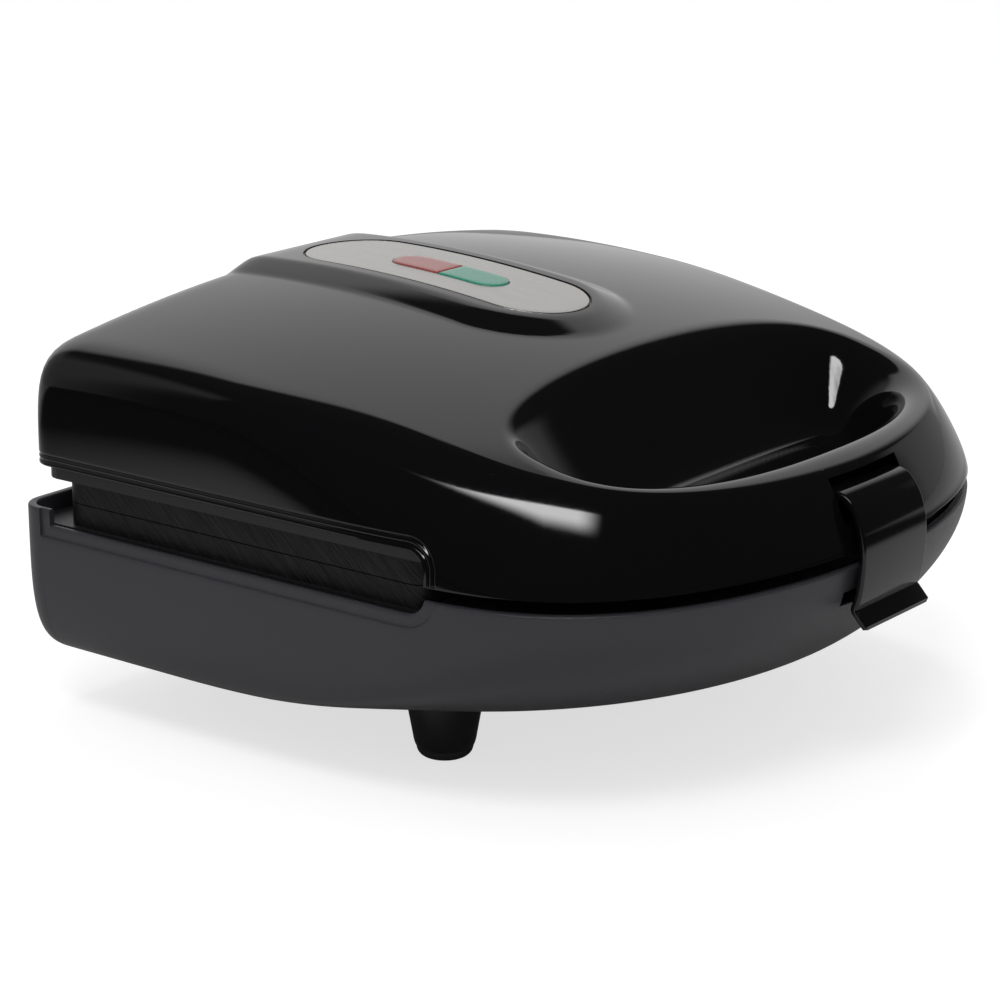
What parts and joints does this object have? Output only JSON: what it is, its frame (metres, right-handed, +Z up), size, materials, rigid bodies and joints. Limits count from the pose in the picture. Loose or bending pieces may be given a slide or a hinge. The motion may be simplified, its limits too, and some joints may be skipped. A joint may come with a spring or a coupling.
{
  "type": "sandwich toaster",
  "caption": "Countertop sandwich toaster: tub base on tapered feet, crowned hinged lid with finger recess, indicator lenses, front latch and paired cooking plates with diagonal pockets.",
  "frame": {"origin": "centre of the bounding box in plan, at the floor that the foot pads stand on", "axes": "+X to the user's right, +Y from the latch at the nose to the hinges at the rear, +Z up"},
  "size_m": [0.2194, 0.2283, 0.1223],
  "materials": {
    "lid_gloss": "high gloss",
    "base_satin": "satin, fine grain",
    "frame_black": "matt",
    "foot_satin": "satin",
    "latch_gloss": "high gloss",
    "cast_coated": "non-stick coating, rough edge",
    "element_steel": "heat tinted",
    "bright_sheet": "rolled sheet",
    "trim_steel": "brushed along its length",
    "zinc_steel": "zinc plated",
    "pad_rubber": "matt",
    "red_plastic": "translucent",
    "green_plastic": "translucent",
    "lamp_glass": "clear",
    "white_plastic": "matt",
    "steatite": "unglazed"
  },
  "bodies": {
    "base": {"base_shell": "base_satin", "base_deck": "frame_black", "lower_cooking_plate": "cast_coated", "lower_heating_element": "element_steel", "lower_heat_reflector": "bright_sheet", "lower_plate_screws": "zinc_steel", "thermostat": "steatite", "thermal_fuse": "steatite", "terminal_block": "steatite", "cord_inlet_bush": "frame_black", "front_left_foot": "foot_satin", "front_right_foot": "foot_satin", "rear_left_foot": "foot_satin", "rear_right_foot": "foot_satin", "foot_pads": "pad_rubber", "base_screws": "zinc_steel", "left_hinge_bracket": "zinc_steel", "right_hinge_bracket": "zinc_steel", "bracket_screws": "zinc_steel", "left_hinge_pin": "zinc_steel", "right_hinge_pin": "zinc_steel"},
    "lid": {"lid_shell": "lid_gloss", "lid_frame": "frame_black", "upper_cooking_plate": "cast_coated", "upper_heating_element": "element_steel", "upper_heat_reflector": "bright_sheet", "upper_plate_screws": "zinc_steel", "left_hinge_arm": "frame_black", "right_hinge_arm": "frame_black", "hinge_arm_screws": "zinc_steel", "lid_screws": "zinc_steel", "trim_plate": "trim_steel", "red_lens": "red_plastic", "green_lens": "green_plastic", "lamp_holder": "white_plastic", "red_lamp": "lamp_glass", "green_lamp": "lamp_glass", "latch_pin": "zinc_steel"},
    "latch": {"latch": "latch_gloss"}
  },
  "joints": [
    {"name": "lid_hinge", "type": "hinge", "parent": "base", "child": "lid", "pos_m": [0, 0.1072, 0.069], "axis": [-1, 0, 0], "range_deg": [0, 100]},
    {"name": "latch_hinge", "type": "hinge", "parent": "lid", "child": "latch", "pos_m": [0, -0.09975, 0.0792], "axis": [-1, 0, 0], "range_deg": [0, 25]}
  ]
}
